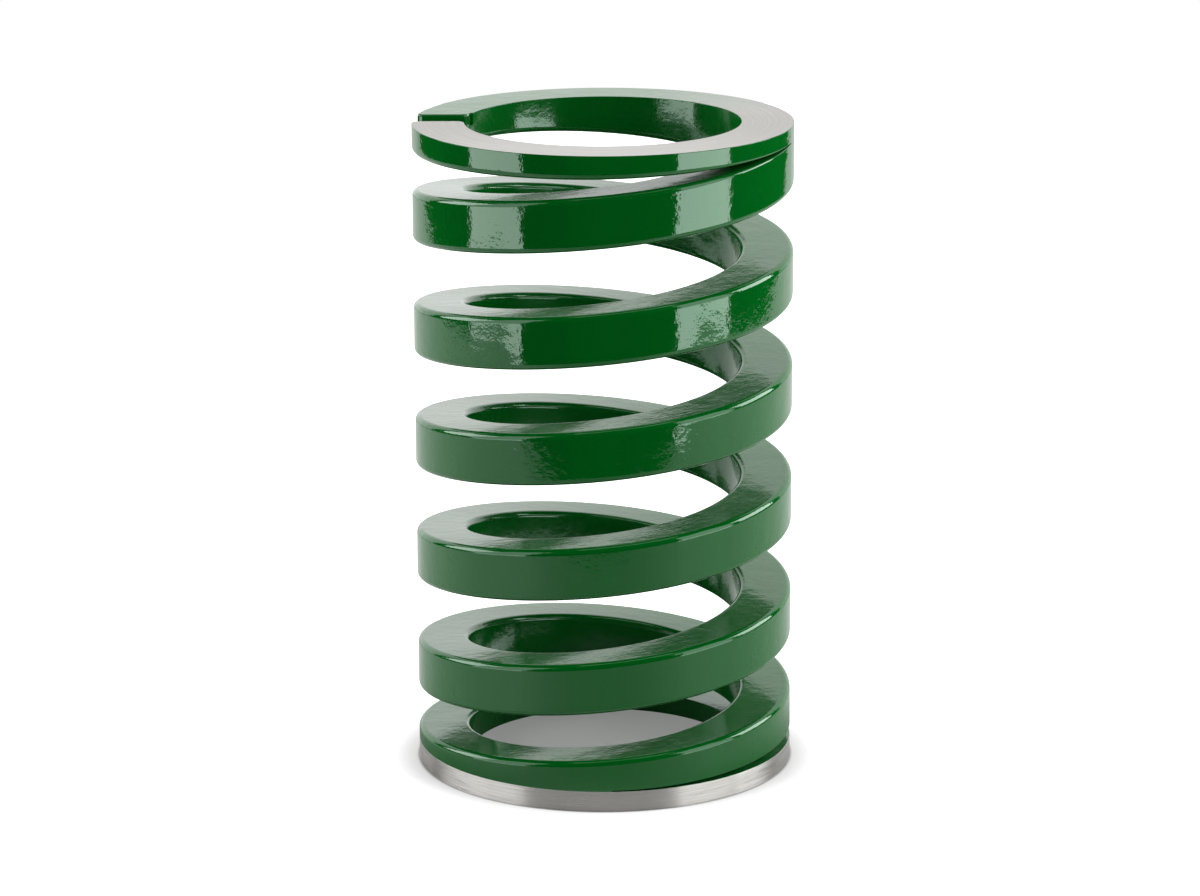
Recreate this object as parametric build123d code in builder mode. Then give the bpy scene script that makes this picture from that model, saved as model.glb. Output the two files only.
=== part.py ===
"""Die spring: one coil of square wire, wound right-handed, its two end turns closed and ground flat.

The spring is modelled as a tube with one helical gap cut out of it.  The gap opens at the foot, where the
first turn lifts off the ground ring that the spring stands on, and it closes at the top, where the last
turn comes down on the turn below.  Each end is then one flat ring, and the wire's end is a slot in the
upper one.  Millimetres, axis on Z, foot on Z = 0.  Angles are degrees anticlockwise from +X, seen from
above, and grow along the winding: 270 is the front of the first turn, 630 the front of the second.
"""

import math
import os

from build123d import *

# Overall sizes
outer_diameter = 50.0
inner_diameter = 36.2
free_length = 86.5

# Wire
wire_height = 6.9  # along the axis
wire_bevel = 0.6  # of the wire's four long edges, which the mill leaves slightly rounded

# Ground ends
foot_ring_height = 2.75  # the ring that the spring stands on
top_ring_height = 2.05  # the upper ring, where it meets the turn below
slot_face_y = 4.7  # the wire's end face, seen across the slot from the start of the ground face at y = 0
slot_depth = 1.5
slot_rounding = 1.2  # of the upright edges at the slot

# Winding, in degrees
gap_open = 272.0
active_start = 990.0  # front of the first turn at full pitch
active_end = 2430.0  # front of the last one
gap_close = 2507.0
section_step = 45.0  # spacing of the sections that shape the gap
gap_start_height = 0.1  # the gap opens with a small step, and closes to the same height
past_wall = 3.0  # how far the cutting solids reach past the walls
bevel_overrun = 0.1  # how far a bevel runs on past the wall, so that it cuts the wall cleanly

# Worked out from the sizes above: the end turns rise 0.89 of a pitch between them
outer_radius = outer_diameter / 2
inner_radius = inner_diameter / 2
active_turns = (active_end - active_start) / 360
pitch = (free_length - foot_ring_height - top_ring_height - wire_height) / (active_turns + 0.89)
first_underside = foot_ring_height + 0.69 * pitch
last_underside = first_underside + active_turns * pitch
top_ring_underside = free_length - top_ring_height

# The wire's upper face below the gap, as (angle, height, rise per turn): flat on the foot ring, then
# climbing into the active turns, a little more open towards the foot
wire_top = [
    (gap_open, foot_ring_height, 0),
    (400, foot_ring_height, 0),
    (560, foot_ring_height + wire_height / 3, 0.55 * pitch),
    (720, first_underside + wire_height - 0.66 * pitch, 0.9 * pitch),
    (active_start, first_underside + wire_height, 1.02 * pitch),
    (active_end, last_underside + wire_height, 0.98 * pitch),
    (gap_close, top_ring_underside, 0.9 * pitch),
]

# The wire's under face above the gap, at the same angles, so one turn further along the wire
wire_underside = [
    (gap_open, foot_ring_height + gap_start_height, 0.2 * pitch),
    (337, foot_ring_height + 0.07 * pitch, 0.35 * pitch),
    (440, foot_ring_height + 0.23 * pitch, 0.85 * pitch),
    (active_start - 360, first_underside, 1.02 * pitch),
    (active_end - 360, last_underside, 0.98 * pitch),
    (2220, top_ring_underside - 0.25 * pitch, 0.7 * pitch),
    (2300, top_ring_underside - 0.14 * pitch, 0.3 * pitch),
    (active_end, top_ring_underside - 0.07 * pitch, 0.15 * pitch),
    (gap_close, top_ring_underside + gap_start_height, 0.3 * pitch),
]


def height_at(angle, stations):
    """Height on the smooth curve through the stations, by cubic Hermite interpolation between two of them."""
    for (a0, h0, rise0), (a1, h1, rise1) in zip(stations, stations[1:]):
        if angle <= a1:
            break
    t = (angle - a0) / (a1 - a0)
    turns = (a1 - a0) / 360
    heights = h0 * (1 + 2 * t) * (1 - t) ** 2 + h1 * (3 - 2 * t) * t**2
    rises = rise0 * t * (1 - t) ** 2 - rise1 * (1 - t) * t**2
    return heights + turns * rises


def bevel_at(angle, sharp_until, full_from):
    """Size of the wire's bevel: nearly sharp where the gap starts, and again where it closes."""
    opening = (angle - sharp_until) / (full_from - sharp_until)
    closing = (gap_close - angle) / 60
    return wire_bevel * max(0.1, min(1, opening, closing))


def gap_section(angle):
    """Outline of the gap in the half-plane at this angle, x being the radius and y the height."""
    low = height_at(angle, wire_top)
    high = height_at(angle, wire_underside)
    low_size = bevel_at(angle, 400, 560)
    high_size = bevel_at(angle, 300, 420)
    outer_end = outer_radius + bevel_overrun
    inner_end = inner_radius - bevel_overrun
    low_end = low - low_size - bevel_overrun
    high_end = high + high_size + bevel_overrun
    c = math.cos(math.radians(angle))
    s = math.sin(math.radians(angle))
    with BuildSketch(Plane(origin=(0, 0, 0), x_dir=(c, s, 0), z_dir=(s, -c, 0))) as section:
        with BuildLine():
            Polyline(
                (inner_radius + low_size, low),
                (outer_radius - low_size, low),
                (outer_end, low_end),
                (outer_radius + past_wall, low_end),
                (outer_radius + past_wall, high_end),
                (outer_end, high_end),
                (outer_radius - high_size, high),
                (inner_radius + high_size, high),
                (inner_end, high_end),
                (inner_radius - past_wall, high_end),
                (inner_radius - past_wall, low_end),
                (inner_end, low_end),
                close=True,
            )
        make_face()
    return section.sketch.face()


# The gap between the turns
with BuildPart() as gap:
    steps = round((gap_close - gap_open) / section_step)
    loft([gap_section(gap_open + (gap_close - gap_open) * i / steps) for i in range(steps + 1)])

# The ring's outline in the ground top layer, broken by the slot at the end of the wire
with BuildSketch(Plane.XY.offset(free_length - slot_depth)) as top_layer:
    Circle(outer_radius)
    Circle(inner_radius, mode=Mode.SUBTRACT)
    with Locations((-(outer_radius + inner_radius) / 2, slot_face_y / 2)):
        Rectangle(outer_radius - inner_radius + 2 * past_wall, slot_face_y, mode=Mode.SUBTRACT)
    slot_corners = top_layer.vertices().filter_by(lambda v: v.X < 0 and -0.01 < v.Y < slot_face_y + 0.01)
    fillet(slot_corners, slot_rounding)

# The spring: a tube up to the slot's floor, the top layer on it, less the gap
with BuildPart() as die_spring:
    with BuildSketch():
        Circle(outer_radius)
        Circle(inner_radius, mode=Mode.SUBTRACT)
    extrude(amount=free_length - slot_depth)
    extrude(top_layer.sketch, amount=slot_depth)
    add(gap.part, mode=Mode.SUBTRACT)

os.makedirs("parts", exist_ok=True)
die_spring.part.label = "die_spring"
export_step(die_spring.part, "parts/die_spring.step")
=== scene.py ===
"""Die spring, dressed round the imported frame: enamelled square wire with ground, bare steel ends.

Everything is in metres, in the frame's own axes: Z is the spring's axis, the foot stands on Z = 0, and the
front of the spring faces -Y.  Angles along the winding are degrees anticlockwise from +X, seen from above.
"""

import math
from types import SimpleNamespace

import bmesh
import bpy
import numpy as np
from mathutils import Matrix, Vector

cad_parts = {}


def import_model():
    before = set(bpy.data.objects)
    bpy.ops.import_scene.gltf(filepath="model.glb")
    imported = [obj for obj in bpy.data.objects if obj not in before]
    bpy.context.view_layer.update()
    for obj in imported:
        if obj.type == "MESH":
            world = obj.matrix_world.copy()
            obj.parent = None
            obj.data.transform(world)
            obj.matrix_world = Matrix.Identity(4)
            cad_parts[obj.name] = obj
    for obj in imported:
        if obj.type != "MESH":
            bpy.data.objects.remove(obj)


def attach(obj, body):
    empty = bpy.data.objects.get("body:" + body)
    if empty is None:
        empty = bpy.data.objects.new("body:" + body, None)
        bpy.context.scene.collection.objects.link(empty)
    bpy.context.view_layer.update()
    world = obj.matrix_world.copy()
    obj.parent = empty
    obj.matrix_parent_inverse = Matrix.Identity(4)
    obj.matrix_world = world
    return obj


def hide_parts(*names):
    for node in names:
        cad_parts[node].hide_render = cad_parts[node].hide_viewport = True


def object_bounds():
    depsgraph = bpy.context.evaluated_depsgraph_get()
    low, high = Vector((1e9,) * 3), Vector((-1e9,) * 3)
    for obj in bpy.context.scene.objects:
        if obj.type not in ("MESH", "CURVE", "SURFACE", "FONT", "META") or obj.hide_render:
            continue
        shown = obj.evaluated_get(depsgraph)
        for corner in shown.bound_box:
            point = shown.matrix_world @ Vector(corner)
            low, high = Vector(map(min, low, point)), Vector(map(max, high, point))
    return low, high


MM = 0.001

# ---------------------------------------------------------------------------------------------------------
# Sizes.  The outside and the length come from the frame; the rest are the spring's own, as it was wound.
# ---------------------------------------------------------------------------------------------------------
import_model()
cad_low, cad_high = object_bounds()

outer_radius = (cad_high[0] - cad_low[0]) / 2
free_length = cad_high[2] - cad_low[2]
inner_radius = 18.1 * MM
wire_height = 6.9 * MM
wire_rounding = 0.8 * MM
ground_edge = 0.08 * MM  # what is left of the rounding along the edge of a ground face
foot_ring_height = 2.75 * MM
top_ring_height = 2.05 * MM
slot_face_y = 4.7 * MM
slot_depth = 1.5 * MM
slot_rounding = 1.2 * MM
slot_edge = 0.35 * MM  # enamelled edge round the mouth of the slot
winding_radius = 21.5 * MM  # about the middle of the wire; turns an angle into a length along it

gap_open = 272.0
active_start = 990.0
active_end = 2430.0
gap_close = 2507.0
gap_start_height = 0.1 * MM
angle_step = 2.5  # divides a turn, and the winding from gap_open to gap_close
joint_step = 0.05  # the last sections before a joint between two stretches are this close together

active_turns = (active_end - active_start) / 360
pitch = (free_length - foot_ring_height - top_ring_height - wire_height) / (active_turns + 0.89)
first_underside = foot_ring_height + 0.69 * pitch
last_underside = first_underside + active_turns * pitch
top_ring_underside = free_length - top_ring_height

# The wire's upper face and, one turn further on, its under face: (angle, height, rise per turn)
wire_top = np.array([
    (gap_open, foot_ring_height, 0),
    (400, foot_ring_height, 0),
    (560, foot_ring_height + wire_height / 3, 0.55 * pitch),
    (720, first_underside + wire_height - 0.66 * pitch, 0.9 * pitch),
    (active_start, first_underside + wire_height, 1.02 * pitch),
    (active_end, last_underside + wire_height, 0.98 * pitch),
    (gap_close, top_ring_underside, 0.9 * pitch),
])
wire_underside = np.array([
    (gap_open, foot_ring_height + gap_start_height, 0.2 * pitch),
    (337, foot_ring_height + 0.07 * pitch, 0.35 * pitch),
    (440, foot_ring_height + 0.23 * pitch, 0.85 * pitch),
    (active_start - 360, first_underside, 1.02 * pitch),
    (active_end - 360, last_underside, 0.98 * pitch),
    (2220, top_ring_underside - 0.25 * pitch, 0.7 * pitch),
    (2300, top_ring_underside - 0.14 * pitch, 0.3 * pitch),
    (active_end, top_ring_underside - 0.07 * pitch, 0.15 * pitch),
    (gap_close, top_ring_underside + gap_start_height, 0.3 * pitch),
])


# ---------------------------------------------------------------------------------------------------------
# The coil
# ---------------------------------------------------------------------------------------------------------
def height_at(angle, stations):
    """Heights on the smooth curve through the stations: with t going 0 to 1 between two of them, the cubic
    Hermite h0(1+2t)(1-t)^2 + h1(3-2t)t^2 + turns(rise0 t(1-t)^2 - rise1(1-t)t^2)."""
    before = np.clip(np.searchsorted(stations[:, 0], angle) - 1, 0, len(stations) - 2)
    a0, h0, rise0 = stations[before].T
    a1, h1, rise1 = stations[before + 1].T
    t = (angle - a0) / (a1 - a0)
    heights = h0 * (1 + 2 * t) * (1 - t) ** 2 + h1 * (3 - 2 * t) * t**2
    return heights + (a1 - a0) / 360 * (rise0 * t * (1 - t) ** 2 - rise1 * (1 - t) * t**2)


def rounding_at(angle, sharp_until, full_from):
    """Size of the wire's rounding: a hair where the gap starts and closes, and none right at its ends."""
    opening = (angle - sharp_until) / (full_from - sharp_until)
    closing = (gap_close - angle) / 60
    rounded = wire_rounding * np.clip(np.minimum(opening, closing), 0.04, 1)
    return np.where((angle > gap_open) & (angle < gap_close), rounded, 0)


def wall_of_section(radius, outward, under, under_round, upper, upper_round, lines):
    """One wall of a section and its two rounded edges, from below to above, as (radius, height) arrays.

    An edge is a quarter circle: its centre plus its rounding times (sin a, -cos a) below and (cos a, sin a)
    above.  Between the two come the points at the heights in lines, held between the edges."""
    quarter = np.radians(np.linspace(0, 90, 6))[None, :]
    low = (radius - outward * under_round * (1 - np.sin(quarter)),
           under + under_round * (1 - np.cos(quarter)))
    level = np.clip(np.array(lines)[None, :], under + under_round, upper - upper_round)
    high = (radius - outward * upper_round * (1 - np.cos(quarter)),
            upper - upper_round * (1 - np.sin(quarter)))
    radii = np.concatenate([low[0], np.full_like(level, radius), high[0]], axis=1)
    return radii, np.concatenate([low[1], level, high[1]], axis=1)


def strip(work, angle, under, under_round, upper, upper_round, lines):
    """Adds a stretch of wire to the mesh: the skin between its sections, one section for each angle.

    The section at an angle stands in the half-plane through the axis at that angle, where (radius, height)
    becomes (radius cos angle, radius sin angle, height)."""
    columns = [column[:, None] for column in (under, under_round, upper, upper_round)]
    outer_r, outer_z = wall_of_section(outer_radius, 1, *columns, lines)
    inner_r, inner_z = wall_of_section(inner_radius, -1, *columns, lines)
    radius = np.concatenate([outer_r, inner_r[:, ::-1]], axis=1)
    height = np.concatenate([outer_z, inner_z[:, ::-1]], axis=1)
    turn = np.radians(angle)[:, None]
    points = np.stack([radius * np.cos(turn), radius * np.sin(turn), height], axis=-1)
    sections, around = radius.shape
    row = np.arange(sections - 1)[:, None] * around
    here = np.arange(around)[None, :]
    after = (here + 1) % around
    quads = np.stack([row + here, row + around + here, row + around + after, row + after], axis=-1)
    stretch = bpy.data.meshes.new("stretch")
    stretch.from_pydata(points.reshape(-1, 3).tolist(), [], quads.reshape(-1, 4).tolist())
    work.from_mesh(stretch)
    bpy.data.meshes.remove(stretch)


def step_face(work, angle, low, high):
    """The small upright face where the gap starts or closes."""
    turn = math.radians(angle)
    corners = ((outer_radius, low), (outer_radius, high), (inner_radius, high), (inner_radius, low))
    work.faces.new([work.verts.new((r * math.cos(turn), r * math.sin(turn), z)) for r, z in corners])


def coil_mesh():
    """The whole coil as one closed skin, in three stretches of wire.

    The first turn is ground flat on Z = 0 and the last on Z = free_length; between them both faces of the
    wire climb.  One turn from either end the wire takes in the end that lies against it, so two stretches
    meet there, with the gap's start or close between them."""
    def angles(start, stop):
        even = np.linspace(start, stop, round((stop - start) / angle_step) + 1)
        return np.concatenate([[start, start + joint_step], even[1:-1], [stop - joint_step, stop]])

    first = angles(gap_open, gap_open + 360)
    middle = angles(gap_open + 360, gap_close)
    last = angles(gap_close, gap_close + 360)
    foot_gap = foot_ring_height + gap_start_height
    top_gap = top_ring_underside + gap_start_height
    work = bmesh.new()
    strip(work, first, 0 * first, 0 * first + ground_edge, height_at(first, wire_top),
          rounding_at(first, 400, 560), (foot_ring_height, foot_gap))
    strip(work, middle, height_at(middle - 360, wire_underside), rounding_at(middle - 360, 300, 420),
          height_at(middle, wire_top), rounding_at(middle, 400, 560), (0, 0))
    strip(work, last, height_at(last - 360, wire_underside), rounding_at(last - 360, 300, 420),
          0 * last + free_length, 0 * last + ground_edge, (top_ring_underside, top_gap))
    step_face(work, gap_open, foot_ring_height, foot_gap)
    step_face(work, gap_close, top_ring_underside, top_gap)
    bmesh.ops.remove_doubles(work, verts=work.verts, dist=0.002 * MM)
    bmesh.ops.recalc_face_normals(work, faces=work.faces)
    skin = bpy.data.meshes.new("coil")
    work.to_mesh(skin)
    work.free()
    return skin


def slot_cutter():
    """The slot between the wire's end face and the start of the ground face, as a solid to take away.

    In plan it lies between y = 0 and slot_face_y across the wire.  Near the wire's walls both sides flare
    out by rounding - sqrt(rounding^2 - s^2), s being how far a point is past the start of the corner, which
    rounds the upright edges.  Towards the top face both sides move apart by the edge's quarter circle."""
    share = np.linspace(-1.15, 1.15, 93)
    edge = -slot_edge * np.cos(np.radians(np.linspace(0, 80, 8)))
    depths = np.concatenate([[-slot_depth], edge, [1.0 * MM]])
    lift = np.clip(depths + slot_edge, 0, slot_edge * 0.98)
    spread = slot_edge - np.sqrt(slot_edge**2 - lift**2)

    def side(face_y, sign):
        wall_out = np.sqrt(outer_radius**2 - face_y**2)
        wall_in = np.sqrt(inner_radius**2 - face_y**2)
        x = (wall_out + wall_in) / 2 + share * (wall_out - wall_in) / 2
        past = np.maximum(x - (wall_out - slot_rounding), (wall_in + slot_rounding) - x)
        past = np.clip(past, 0, slot_rounding * 0.999)
        flare = slot_rounding - np.sqrt(slot_rounding**2 - past**2)
        return x, face_y + sign * flare

    near_x, near_y = side(0.0, -1)
    far_x, far_y = side(slot_face_y, 1)
    loop_x = -np.concatenate([near_x, far_x[::-1]])
    loop_y = np.concatenate([near_y, far_y[::-1]])
    outward = np.concatenate([np.full_like(near_y, -1), np.full_like(far_y, 1)])
    x = np.repeat(loop_x[None, :], len(depths), axis=0)
    y = loop_y[None, :] + outward[None, :] * spread[:, None]
    z = np.repeat((free_length + depths)[:, None], loop_x.size, axis=1)
    points = np.stack([x, y, z], axis=-1)
    levels, around = x.shape
    row = np.arange(levels - 1)[:, None] * around
    here = np.arange(around)[None, :]
    after = (here + 1) % around
    quads = np.stack([row + here, row + after, row + around + after, row + around + here], axis=-1)
    skin = bpy.data.meshes.new("slot_cutter")
    bottom = tuple(range(around))[::-1]
    lid = tuple(range((levels - 1) * around, levels * around))
    skin.from_pydata(points.reshape(-1, 3).tolist(), [], quads.reshape(-1, 4).tolist() + [bottom, lid])
    return skin


def point_outwards(skin):
    """Turns every face of a closed mesh outwards."""
    work = bmesh.new()
    work.from_mesh(skin)
    bmesh.ops.recalc_face_normals(work, faces=work.faces)
    work.to_mesh(skin)
    work.free()


def place(name, skin):
    piece = bpy.data.objects.new(name, skin)
    bpy.context.scene.collection.objects.link(piece)
    return piece


def cut_slot(coil):
    """Takes the slot out of the coil and keeps the result as the coil's mesh."""
    tool = place("slot_cutter", slot_cutter())
    point_outwards(tool.data)
    cut = coil.modifiers.new("slot", "BOOLEAN")
    cut.operation = "DIFFERENCE"
    cut.solver = "EXACT"
    cut.object = tool
    done = bpy.data.meshes.new_from_object(coil.evaluated_get(bpy.context.evaluated_depsgraph_get()))
    coil.modifiers.clear()
    coil.data = done
    bpy.data.objects.remove(tool)


# ---------------------------------------------------------------------------------------------------------
# Materials
# ---------------------------------------------------------------------------------------------------------
def linear(code):
    """An sRGB hex colour as linear RGBA."""
    parts = [int(code[i:i + 2], 16) / 255 for i in (1, 3, 5)]
    return [p / 12.92 if p <= 0.04045 else ((p + 0.055) / 1.055) ** 2.4 for p in parts] + [1]


def node(tree, kind, links=(), **settings):
    """Adds a node.  Settings name its properties or inputs; links are (input, output to read)."""
    made = tree.nodes.new(kind)
    for name, value in settings.items():
        if hasattr(made, name):
            setattr(made, name, value)
        else:
            made.inputs[name.replace("_", " ")].default_value = value
    for target, source in links:
        tree.links.new(source, made.inputs[target])
    return made


def new_material(name):
    finish = bpy.data.materials.new(name)
    finish.use_nodes = True
    finish.node_tree.nodes.clear()
    return finish, finish.node_tree


def mixed_over(tree, base, top, amount):
    """Lays one shader over another by the given amount."""
    return node(tree, "ShaderNodeMixShader", [("Fac", amount), (1, base), (2, top)]).outputs[0]


def math_node(tree, operation, first, second=0.0, third=0.0):
    """One arithmetic step; each of its values is a number or another node's output."""
    made = tree.nodes.new("ShaderNodeMath")
    made.operation = operation
    for place_in, value in enumerate((first, second, third)):
        if isinstance(value, bpy.types.NodeSocket):
            tree.links.new(value, made.inputs[place_in])
        else:
            made.inputs[place_in].default_value = value
    return made.outputs[0]


def round_the_axis(tree):
    """Coordinates that follow the winding: where a point is, its radius, its turn round the axis in radians,
    its length along the circle, and its height."""
    coordinates = node(tree, "ShaderNodeTexCoord")
    where = coordinates.outputs["Object"]
    parts = node(tree, "ShaderNodeSeparateXYZ", [("Vector", where)])
    x_squared = math_node(tree, "MULTIPLY", parts.outputs["X"], parts.outputs["X"])
    y_squared = math_node(tree, "MULTIPLY", parts.outputs["Y"], parts.outputs["Y"])
    radius = math_node(tree, "SQRT", math_node(tree, "ADD", x_squared, y_squared))
    turn = math_node(tree, "ARCTAN2", parts.outputs["Y"], parts.outputs["X"])
    along = math_node(tree, "MULTIPLY", turn, winding_radius)
    return SimpleNamespace(where=where, radius=radius, turn=turn, along=along, height=parts.outputs["Z"])


def enamel_shader(tree, gloss, marks_depth):
    """The enamel's shader: a deep green with a clear gloss on it.

    Two bumps shape the reflections: slow waves where the enamel flowed, about 4 mm across, and the drawing
    marks of the wire, about 0.3 mm apart across it and long along it, which the enamel does not quite fill.
    A real draw mark is finer; these are as coarse as they need to be to show."""
    at = round_the_axis(tree)
    along_wire = math_node(tree, "MULTIPLY", at.along, 0.045)
    up_wire = math_node(tree, "MULTIPLY", at.height, 0.3)
    wound = node(tree, "ShaderNodeCombineXYZ", [("X", at.radius), ("Y", along_wire), ("Z", up_wire)])
    waves = node(tree, "ShaderNodeTexNoise", [("Vector", at.where)], Scale=250.0, Detail=4.5, Roughness=0.64)
    marks = node(tree, "ShaderNodeTexNoise", [("Vector", wound.outputs[0])], Scale=3400.0, Detail=3.0)
    soft = node(tree, "ShaderNodeBump", [("Height", waves.outputs[0])], Strength=1.0, Distance=0.075 * MM)
    both = node(tree, "ShaderNodeBump", [("Height", marks.outputs[0]), ("Normal", soft.outputs[0])],
                Strength=1.0, Distance=marks_depth)
    return node(tree, "ShaderNodeBsdfPrincipled", [("Normal", both.outputs[0])],
                Base_Color=linear("#005315"), Roughness=gloss, IOR=1.63,
                Specular_Tint=linear("#e3fff0")).outputs[0]


def thin_enamel_shader(tree):
    """The enamel where it lies thinner and the draw marks show through."""
    return enamel_shader(tree, gloss=0.13, marks_depth=0.012 * MM)


def steel_shader(tree, colours, roughness, spread, spread_turned, lines, shortness, depth):
    """Bare steel with fine lines that run round the axis: closely spaced in radius and height, and long
    along the circle.  The grinding spreads a reflection one way and leaves it narrow the other: across the
    circle when spread_turned is a quarter turn, along it when it is 0.

    Lines is the number of them in a metre, shortness their spacing over their length, and depth their
    depth in metres.  Real grinding lines are finer; these are as coarse as they need to be to show."""
    at = round_the_axis(tree)
    along_circle = math_node(tree, "MULTIPLY", at.along, shortness)
    wound = node(tree, "ShaderNodeCombineXYZ", [("X", at.radius), ("Y", along_circle), ("Z", at.height)])
    grain = node(tree, "ShaderNodeTexNoise", [("Vector", wound.outputs[0])], Scale=lines, Detail=3.0,
                 Roughness=0.7)
    bump = node(tree, "ShaderNodeBump", [("Height", grain.outputs[0])], Strength=1.0, Distance=depth)
    dull = node(tree, "ShaderNodeMapRange", [("Value", grain.outputs[0])], From_Min=0.3, From_Max=0.7,
                To_Min=roughness - 0.1, To_Max=roughness + 0.1)
    tone = node(tree, "ShaderNodeMix", [("Factor", grain.outputs[0])], data_type="RGBA")
    tone.inputs["A"].default_value = linear(colours[0])
    tone.inputs["B"].default_value = linear(colours[1])
    round_it = node(tree, "ShaderNodeTangent", direction_type="RADIAL", axis="Z")
    return node(tree, "ShaderNodeBsdfPrincipled",
                [("Base Color", tone.outputs["Result"]), ("Normal", bump.outputs[0]),
                 ("Roughness", dull.outputs[0]), ("Tangent", round_it.outputs[0])],
                Metallic=1.0, Anisotropic=spread, Anisotropic_Rotation=spread_turned).outputs[0]


def green_enamel():
    """Stoved gloss enamel on the spring's outer wall: deep green, with sharp reflections a little broken by
    the flow of the enamel."""
    finish, tree = new_material("green_enamel")
    enamel = enamel_shader(tree, gloss=0.06, marks_depth=0.0005 * MM)
    node(tree, "ShaderNodeOutputMaterial", [("Surface", enamel)])
    return finish


def green_enamel_over_draw_marks():
    """The same enamel where it lies thinner, on the wire's upper and under faces and inside the coil: the
    draw marks show through and streak the reflections along the wire."""
    finish, tree = new_material("green_enamel_over_draw_marks")
    node(tree, "ShaderNodeOutputMaterial", [("Surface", thin_enamel_shader(tree))])
    return finish


def ground_steel():
    """Spring steel ground flat on a wheel: bright, with fine rings round the face.  Where the wire's end
    runs out, from the back right round to the slot, the wheel did not reach and the enamel is left."""
    finish, tree = new_material("ground_steel")
    at = round_the_axis(tree)
    ragged = node(tree, "ShaderNodeTexNoise", [("Vector", at.where)], Scale=400.0, Detail=3.0)
    edge = math_node(tree, "ADD", at.turn, math_node(tree, "MULTIPLY", ragged.outputs[0], 0.25))
    left_green = node(tree, "ShaderNodeMapRange", [("Value", edge)], From_Min=0.4, From_Max=1.35)
    upper = math_node(tree, "GREATER_THAN", at.height, free_length / 2)
    slot_turn = 3.135  # just short of half a turn, at the wire's end face
    before_slot = math_node(tree, "LESS_THAN", at.turn, slot_turn)
    on_that_side = math_node(tree, "MULTIPLY", upper, before_slot)
    green = math_node(tree, "MULTIPLY", left_green.outputs[0], on_that_side)
    left_over = thin_enamel_shader(tree)
    steel = steel_shader(tree, colours=("#8a8885", "#e2e0dc"), roughness=0.4, spread=0.5, spread_turned=0.0,
                         lines=3200.0, shortness=0.02, depth=0.003 * MM)
    node(tree, "ShaderNodeOutputMaterial", [("Surface", mixed_over(tree, steel, left_over, green))])
    return finish


def turned_steel():
    """Bare steel on the foot ring's outside, linished round the spring: hair-fine lines, which draw a
    reflection out upwards and keep its sides crisp."""
    finish, tree = new_material("turned_steel")
    steel = steel_shader(tree, colours=("#a3a19d", "#fbf9f4"), roughness=0.34, spread=0.97,
                         spread_turned=0.25, lines=8000.0, shortness=0.015, depth=0.0005 * MM)
    node(tree, "ShaderNodeOutputMaterial", [("Surface", steel)])
    return finish


def dress(coil):
    """Gives each face its finish: the ground top and foot, the bare outside of the foot ring, the enamel."""
    on_the_face = 0.02 * MM
    skin = coil.data
    skin.materials.clear()
    for finish in (green_enamel(), ground_steel(), turned_steel(), green_enamel_over_draw_marks()):
        skin.materials.append(finish)
    count = len(skin.polygons)
    normal = np.empty(count * 3)
    centre = np.empty(count * 3)
    skin.polygons.foreach_get("normal", normal)
    skin.polygons.foreach_get("center", centre)
    normal = normal.reshape(-1, 3)
    centre = centre.reshape(-1, 3)
    radius = np.hypot(centre[:, 0], centre[:, 1])
    outward = (normal[:, 0] * centre[:, 0] + normal[:, 1] * centre[:, 1]) / radius
    on_top = (normal[:, 2] > 0.9) & (centre[:, 2] > free_length - on_the_face)
    on_foot = (normal[:, 2] < -0.9) & (centre[:, 2] < on_the_face)
    on_ring = (outward > 0.3) & (centre[:, 2] < foot_ring_height) & ~on_foot
    drawn = (np.abs(normal[:, 2]) > 0.9) | (outward < -0.5)
    enamel, ground, turned, over_marks = range(4)
    index = np.where(drawn, over_marks, enamel).astype(np.int32)
    index[on_top | on_foot] = ground
    index[on_ring] = turned
    skin.polygons.foreach_set("material_index", index)
    skin.polygons.foreach_set("use_smooth", np.ones(count, dtype=bool))
    skin.set_sharp_from_angle(angle=math.radians(32))
    coil.modifiers.new("flat_faces_stay_flat", "WEIGHTED_NORMAL").keep_sharp = True


# ---------------------------------------------------------------------------------------------------------
# Studio
# ---------------------------------------------------------------------------------------------------------
def white_emitter(name, strength):
    finish, tree = new_material(name)
    glow = node(tree, "ShaderNodeEmission", Color=(1, 1, 1, 1), Strength=strength)
    node(tree, "ShaderNodeOutputMaterial", [("Surface", glow.outputs[0])])
    return finish


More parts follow.
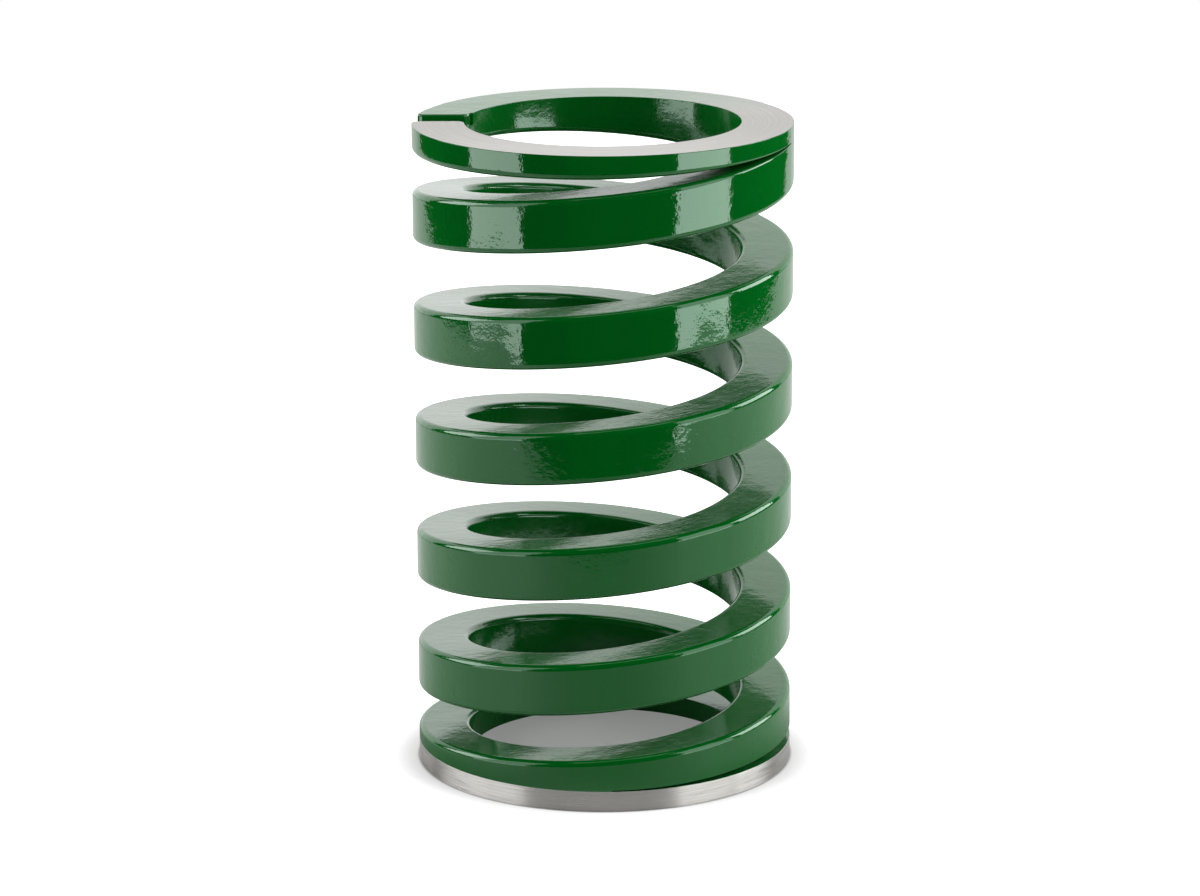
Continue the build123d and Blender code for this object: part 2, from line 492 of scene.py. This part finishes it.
def floor():
    """A white table top under the spring.

    To the camera it grows lighter away from the spring, as white as the room behind it. Near the spring it
    shows the spring's own shadow together with painted shadow: its glow to the camera is turned down close
    to the spring, and its colour and glow are painted darker right where the foot touches. Its colour also
    carries painted shade: duller in front, away from the lamps, and brighter at the sides, and the other way
    round close to the foot."""
    near, far, left, right = -0.16, 0.5, -0.3, 0.27
    sheet = bpy.data.meshes.new("floor")
    corners = [(left, near, 0), (right, near, 0), (right, far, 0), (left, far, 0)]
    sheet.from_pydata(corners, [], [(0, 1, 2, 3)])
    finish, tree = new_material("white_floor_painted_shade")
    at = round_the_axis(tree)
    path = node(tree, "ShaderNodeLightPath")
    # Painted light and shade in the floor's colour: duller in front and brighter at the sides away from the
    # foot, and the other way round close to the foot.
    sideways = math_node(tree, "SINE", at.turn)
    shade = node(tree, "ShaderNodeMapRange", [("Value", sideways)], From_Min=-1.0, From_Max=-0.7,
                 To_Min=0.33, To_Max=0.68)
    shade_at_foot = node(tree, "ShaderNodeMapRange", [("Value", sideways)], From_Min=-1.0, From_Max=-0.4,
                         To_Min=0.6, To_Max=0.32)
    away = node(tree, "ShaderNodeMapRange", [("Value", at.radius)], From_Min=30 * MM, From_Max=40 * MM)
    step_away = math_node(tree, "SUBTRACT", shade.outputs[0], shade_at_foot.outputs[0])
    painted_shade_by_side = math_node(tree, "MULTIPLY_ADD", away.outputs[0], step_away, shade_at_foot.outputs[0])
    # Painted contact shadow: the floor's colour and glow are darker within 0.4 mm of the foot's outer edge.
    from_foot = math_node(tree, "ABSOLUTE", math_node(tree, "SUBTRACT", at.radius, outer_radius))
    painted_contact_shadow = node(tree, "ShaderNodeMapRange", [("Value", from_foot)], From_Min=0.0, From_Max=0.4 * MM,
                   To_Min=0.45, To_Max=1.0)
    # The floor's colour is the painted shade by side times the painted contact shadow.
    tone = math_node(tree, "MULTIPLY", painted_shade_by_side, painted_contact_shadow.outputs[0])
    painted_shade_grey = node(tree, "ShaderNodeCombineColor", [("Red", tone), ("Green", tone), ("Blue", tone)])
    # Painted shade to the camera: the floor's glow is turned down from 30 mm in to the foot and inside the
    # coil, and turned down further at the foot's edge.
    glow_dimmed_near_foot = node(tree, "ShaderNodeMapRange", [("Value", at.radius)], From_Min=23.4 * MM,
                   From_Max=30 * MM, To_Min=0.18, To_Max=1.0)
    paper = node(tree, "ShaderNodeBsdfDiffuse", [("Color", painted_shade_grey.outputs[0])])
    camera_glow_with_painted_shadow = math_node(tree, "MULTIPLY", glow_dimmed_near_foot.outputs[0], painted_contact_shadow.outputs[0])
    strength = math_node(tree, "MULTIPLY", path.outputs["Is Camera Ray"], camera_glow_with_painted_shadow)
    glow = node(tree, "ShaderNodeEmission", [("Strength", strength)], Color=(1, 1, 1, 1))
    both = node(tree, "ShaderNodeAddShader", [(0, paper.outputs[0]), (1, glow.outputs[0])])
    node(tree, "ShaderNodeOutputMaterial", [("Surface", both.outputs[0])])
    sheet.materials.append(finish)
    place("floor", sheet)


def backdrop():
    """A white wall bent round behind the spring, which its upper faces mirror.  The camera does not see
    it."""
    half_angle, reach, height = 53, 0.6, 0.9
    turn = np.radians(np.linspace(90 - half_angle, 90 + half_angle, 44))
    low = np.stack([reach * np.cos(turn), reach * np.sin(turn), np.zeros_like(turn)], axis=-1)
    high = low + (0, 0, height)
    wall = bpy.data.meshes.new("backdrop")
    count = len(turn)
    step = np.arange(count - 1)
    quads = np.stack([step, step + 1, step + count + 1, step + count], axis=-1)
    wall.from_pydata(np.concatenate([low, high]).tolist(), [], quads.tolist())
    wall.materials.append(white_emitter("white_backdrop", 1.15))
    sheet = place("backdrop", wall)
    sheet.visible_camera = False


def area_lamp(name, size, radiance, location, tilt, azimuth=0.0, mirrored=True):
    """A rectangular lamp of a width and height in metres.  Its tilt and azimuth are in degrees: 0 tilt
    shines straight down and 90 level, towards the axis when the azimuth is the lamp's own.  The spring's
    surfaces mirror it unless mirrored is False, and then it only lights them."""
    width, height = size
    lamp = bpy.data.lights.new(name, "AREA")
    lamp.shape = "RECTANGLE"
    lamp.size = width
    lamp.size_y = height
    lamp.energy = radiance * math.pi * width * height
    box = bpy.data.objects.new(name, lamp)
    box.location = location
    box.rotation_euler = (math.radians(tilt), 0, math.radians(azimuth))
    box.visible_glossy = mirrored
    bpy.context.scene.collection.objects.link(box)


def beside_camera(azimuth, reach, height):
    """A place at an azimuth in degrees from the front, to the right when it is positive."""
    turn = math.radians(azimuth)
    return reach * math.sin(turn), -reach * math.cos(turn), height


def softbox(name, azimuth, radiance):
    """A tall softbox beside the camera, reaching below the table top.

    Its upper part is dimmer where the enamel mirrors it, so that the wire's upper faces do not burn out
    when they are seen from behind; a third part makes up the light that this takes away."""
    width, reach = 0.288, 0.45
    low, split, high = -0.3, 0.035, 0.62
    mirrored_share = 0.42
    parts = (
        ("_lower", low, split, radiance, True),
        ("_upper", split, high, mirrored_share * radiance, True),
        ("_fill", split, high, (1 - mirrored_share) * radiance, False),
    )
    for part, start, end, part_radiance, mirrored in parts:
        centre = beside_camera(azimuth, reach, (start + end) / 2)
        area_lamp(name + part, (width, end - start), part_radiance, centre, 90, azimuth, mirrored)


def side_lamp(name, azimuth, radiance):
    """A lamp beyond a softbox and above the table, which brightens the spring's flank.  It is too high for
    the upright walls to mirror."""
    area_lamp(name, (0.36, 0.36), radiance, beside_camera(azimuth, 0.6, 0.3), 65, azimuth)


def overhead():
    """A square softbox above the spring, which lights the upper edges and the ground face."""
    area_lamp("overhead", (0.5, 0.5), 2.0, (0, 0.1, 0.9), 0)


def world():
    """White to the camera, and a dark room to everything else."""
    sky = bpy.data.worlds.new("studio")
    bpy.context.scene.world = sky
    sky.use_nodes = True
    tree = sky.node_tree
    tree.nodes.clear()
    path = node(tree, "ShaderNodeLightPath")
    tone = node(tree, "ShaderNodeMix", [("Factor", path.outputs["Is Camera Ray"])], data_type="RGBA")
    tone.inputs["A"].default_value = (0.01, 0.01, 0.01, 1)
    tone.inputs["B"].default_value = (1, 1, 1, 1)
    light = node(tree, "ShaderNodeBackground", [("Color", tone.outputs["Result"])])
    node(tree, "ShaderNodeOutputWorld", [("Surface", light.outputs[0])])


def camera():
    """A long lens in front of the spring, a little above its top and looking slightly down."""
    tilt_down, roll = 0.25476, 0.003  # radians
    lens = bpy.data.cameras.new("camera")
    lens.sensor_width = 36
    lens.lens = 130.51
    lens.shift_x = -0.0004
    lens.clip_start = 0.01
    view = bpy.data.objects.new("camera", lens)
    view.location = (0, -22.398 * outer_radius, 7.527 * outer_radius)
    view.rotation_euler = (math.pi / 2 - tilt_down, roll, 0)
    bpy.context.scene.collection.objects.link(view)
    bpy.context.scene.camera = view


# ---------------------------------------------------------------------------------------------------------
# Assembly
# ---------------------------------------------------------------------------------------------------------
coil_piece = place("coil", coil_mesh())
cut_slot(coil_piece)
dress(coil_piece)
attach(coil_piece, "root")
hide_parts("die_spring")

floor()
backdrop()
softbox("softbox_left", -67, 4.0)
softbox("softbox_right", 61.5, 5.1)
side_lamp("side_lamp_left", -102, 5.0)
side_lamp("side_lamp_right", 102, 7.0)
overhead()
world()
camera()
bpy.context.scene.view_settings.view_transform = "Standard"
